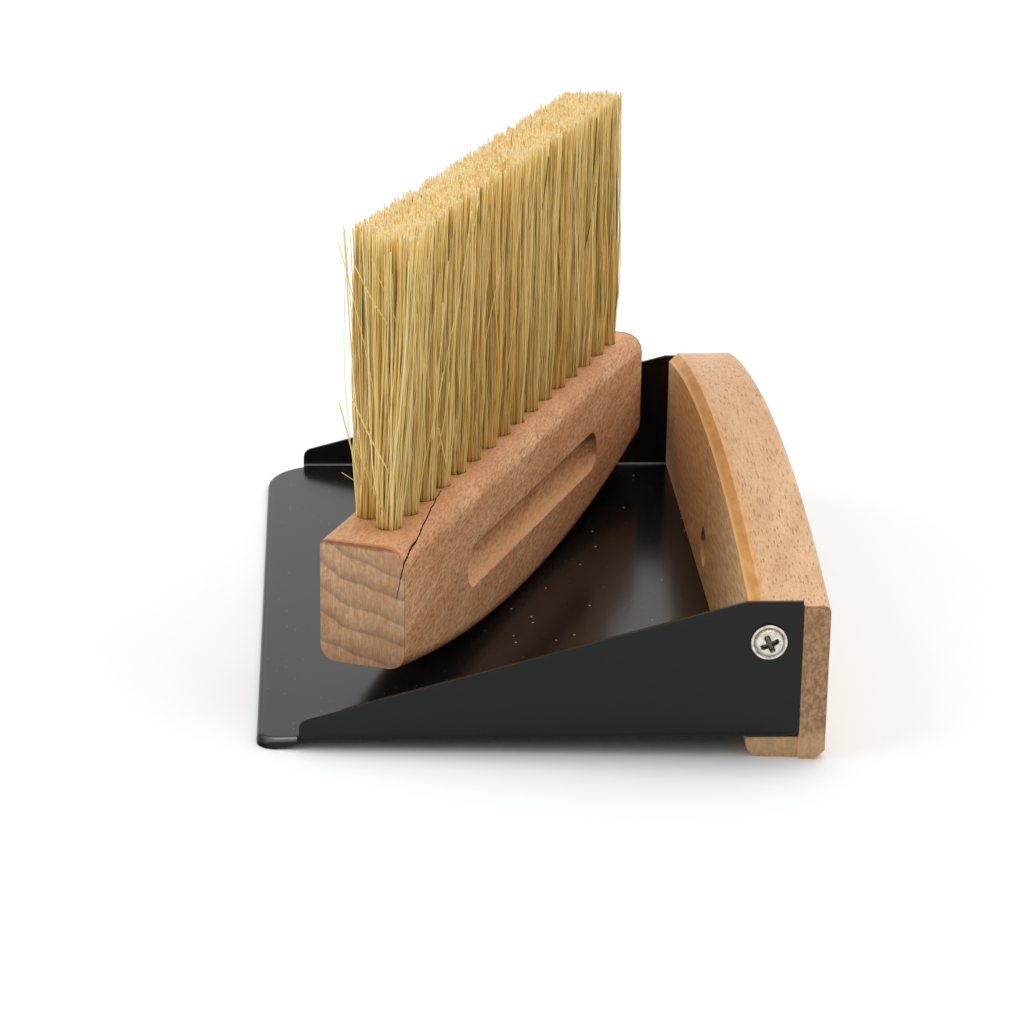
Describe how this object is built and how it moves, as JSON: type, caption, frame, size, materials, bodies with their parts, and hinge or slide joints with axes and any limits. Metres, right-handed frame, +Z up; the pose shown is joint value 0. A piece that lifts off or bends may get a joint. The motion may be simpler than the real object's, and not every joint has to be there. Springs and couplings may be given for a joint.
{
  "type": "dust pan and brush set",
  "caption": "Folded black steel dust pan with an arched wooden rear handle block, and an arched wooden hand brush with plant fibre bristles standing upright in the tray.",
  "frame": {"origin": "on the ground, under the middle of the whole set's bounding box", "axes": "+X from the pan's lip towards its handle block, +Y along the handle block and the pan's width, +Z up"},
  "size_m": [0.154, 0.2354, 0.137],
  "materials": {
    "lacquered_steel": "satin black lacquer",
    "handle_beech": "oiled light beech",
    "brush_beech": "oiled steamed beech",
    "bristle": "stiff straw-coloured plant fibre",
    "nickel": "nickel plated",
    "magnet": "nickel plated"
  },
  "bodies": {
    "pan": {"pan_sheet": "lacquered_steel", "pan_handle": "handle_beech", "screw_front": "nickel", "screw_back": "nickel", "handle_magnet": "magnet"},
    "brush": {"brush_block": "brush_beech", "brush_magnet": "magnet", "tuft_front_01": "bristle", "tuft_front_02": "bristle", "tuft_front_03": "bristle", "tuft_front_04": "bristle", "tuft_front_05": "bristle", "tuft_front_06": "bristle", "tuft_front_07": "bristle", "tuft_front_08": "bristle", "tuft_front_09": "bristle", "tuft_front_10": "bristle", "tuft_front_11": "bristle", "tuft_front_12": "bristle", "tuft_front_13": "bristle", "tuft_front_14": "bristle", "tuft_front_15": "bristle", "tuft_front_16": "bristle", "tuft_back_01": "bristle", "tuft_back_02": "bristle", "tuft_back_03": "bristle", "tuft_back_04": "bristle", "tuft_back_05": "bristle", "tuft_back_06": "bristle", "tuft_back_07": "bristle", "tuft_back_08": "bristle", "tuft_back_09": "bristle", "tuft_back_10": "bristle", "tuft_back_11": "bristle", "tuft_back_12": "bristle", "tuft_back_13": "bristle", "tuft_back_14": "bristle", "tuft_back_15": "bristle"}
  },
  "joints": [
    {"name": "brush_lift", "type": "slide", "parent": "pan", "child": "brush", "axis": [0, 0, 1], "range_m": [0, 0.15]}
  ]
}
